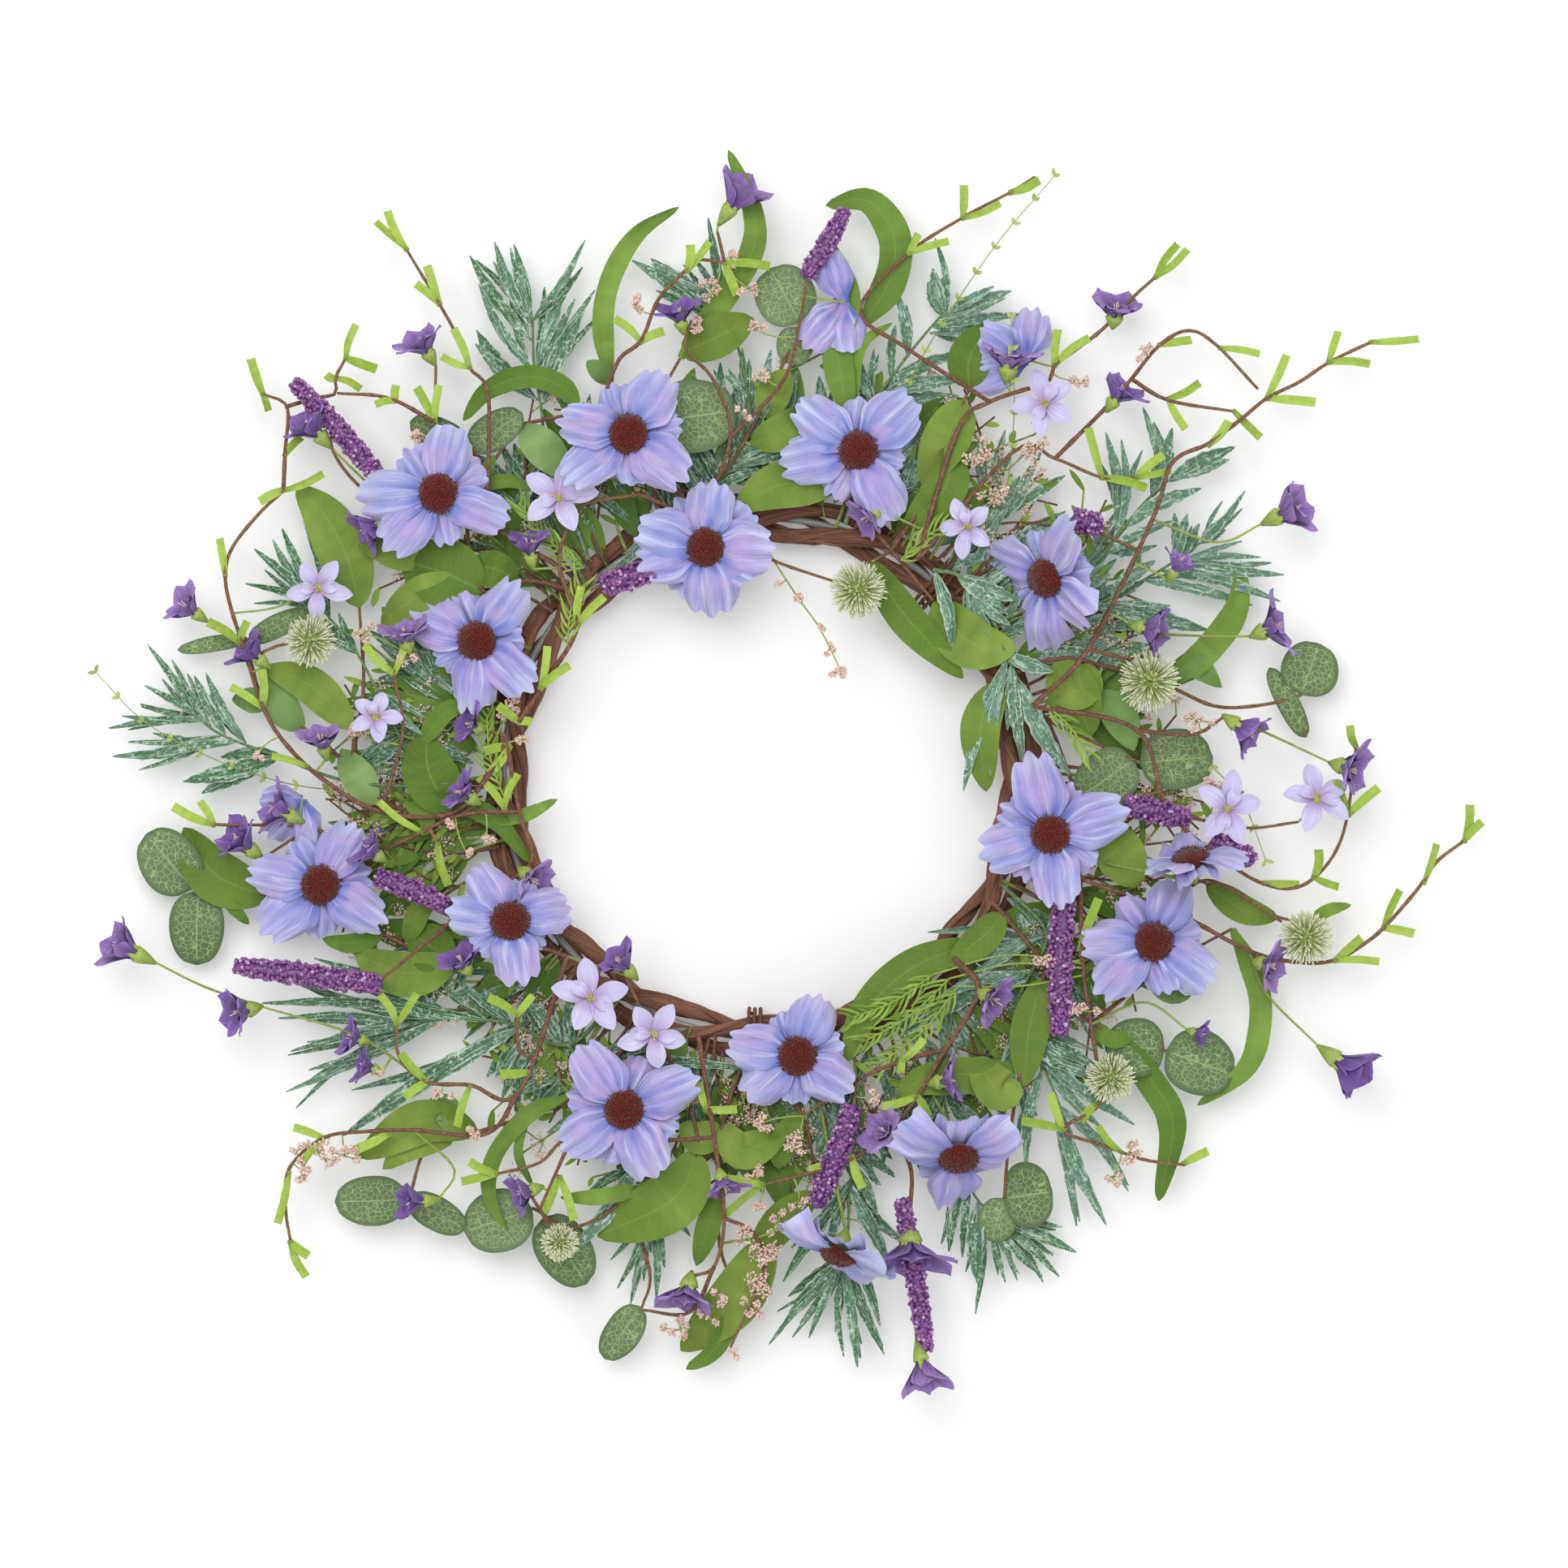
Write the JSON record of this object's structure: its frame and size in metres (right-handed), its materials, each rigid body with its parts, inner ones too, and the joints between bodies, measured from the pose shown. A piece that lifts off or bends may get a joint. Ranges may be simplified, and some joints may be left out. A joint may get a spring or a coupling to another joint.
{
  "type": "artificial flower wreath",
  "caption": "Twisted vine ring dressed with blue cosmos heads, violet bellflowers, thistles, beaded spikes and green and frosted leaf sprays.",
  "frame": {"origin": "middle of the outline seen from the front, at the height of the surface the ring lies on", "axes": "+Z out of the flower faces, towards the viewer; +Y to the top of the wreath; +X to the right"},
  "size_m": [0.6086, 0.5474, 0.0776],
  "materials": {
    "hoop_wire": "galvanised",
    "vine_bark": "rough bark",
    "frosted_leaf": "flocked with pale frost",
    "leaf_green": "matte printed cloth",
    "wildflower": "matte",
    "cosmos_petal": "matte pleated cloth",
    "flocked_centre": "flocked"
  },
  "bodies": {
    "root": {"wire_hoop": "hoop_wire", "vine_strand_a": "vine_bark", "vine_strand_b": "vine_bark", "vine_strand_c": "vine_bark", "binding_wrap_upper": "vine_bark", "binding_wrap_lower": "vine_bark", "frosted_spray_top_left": "frosted_leaf", "frosted_spray_top": "frosted_leaf", "frosted_spray_top_right": "frosted_leaf", "frosted_spray_right": "frosted_leaf", "leaf_stem_left": "leaf_green", "frosted_spray_left": "frosted_leaf", "frosted_spray_lower_left": "frosted_leaf", "frosted_spray_bottom": "frosted_leaf", "leaf_stem_top_left": "leaf_green", "leaf_stem_top": "leaf_green", "leaf_stem_top_right": "leaf_green", "leaf_stem_right": "leaf_green", "frosted_spray_lower_right": "frosted_leaf", "frosted_spray_inner_right": "frosted_leaf", "leaf_stem_lower_right": "leaf_green", "leaf_stem_bottom": "leaf_green", "leaf_stem_bottom_left": "leaf_green", "leaf_stem_lower_left": "leaf_green", "wildflower_twig_left": "wildflower", "wildflower_twig_top_left": "wildflower", "wildflower_twig_top_right": "wildflower", "wildflower_twig_right": "wildflower", "wildflower_twig_lower_right": "wildflower", "wildflower_twig_bottom": "wildflower", "wildflower_twig_bottom_left": "wildflower", "wildflower_twig_lower_left": "wildflower", "cosmos_head_01": "cosmos_petal", "cosmos_head_02": "cosmos_petal", "cosmos_head_03": "cosmos_petal", "cosmos_head_04": "cosmos_petal", "cosmos_head_05": "cosmos_petal", "cosmos_head_06": "cosmos_petal", "cosmos_head_07": "cosmos_petal", "cosmos_head_08": "cosmos_petal", "cosmos_head_09": "cosmos_petal", "cosmos_head_10": "cosmos_petal", "cosmos_head_11": "cosmos_petal", "cosmos_head_12": "cosmos_petal", "cosmos_head_13": "cosmos_petal", "cosmos_head_14": "cosmos_petal", "cosmos_head_15": "cosmos_petal", "cosmos_centre_01": "flocked_centre", "cosmos_centre_02": "flocked_centre", "cosmos_centre_03": "flocked_centre", "cosmos_centre_04": "flocked_centre", "cosmos_centre_05": "flocked_centre", "cosmos_centre_06": "flocked_centre", "cosmos_centre_07": "flocked_centre", "cosmos_centre_08": "flocked_centre", "cosmos_centre_09": "flocked_centre", "cosmos_centre_10": "flocked_centre", "cosmos_centre_11": "flocked_centre", "cosmos_centre_12": "flocked_centre", "cosmos_centre_13": "flocked_centre"}
  },
  "joints": []
}
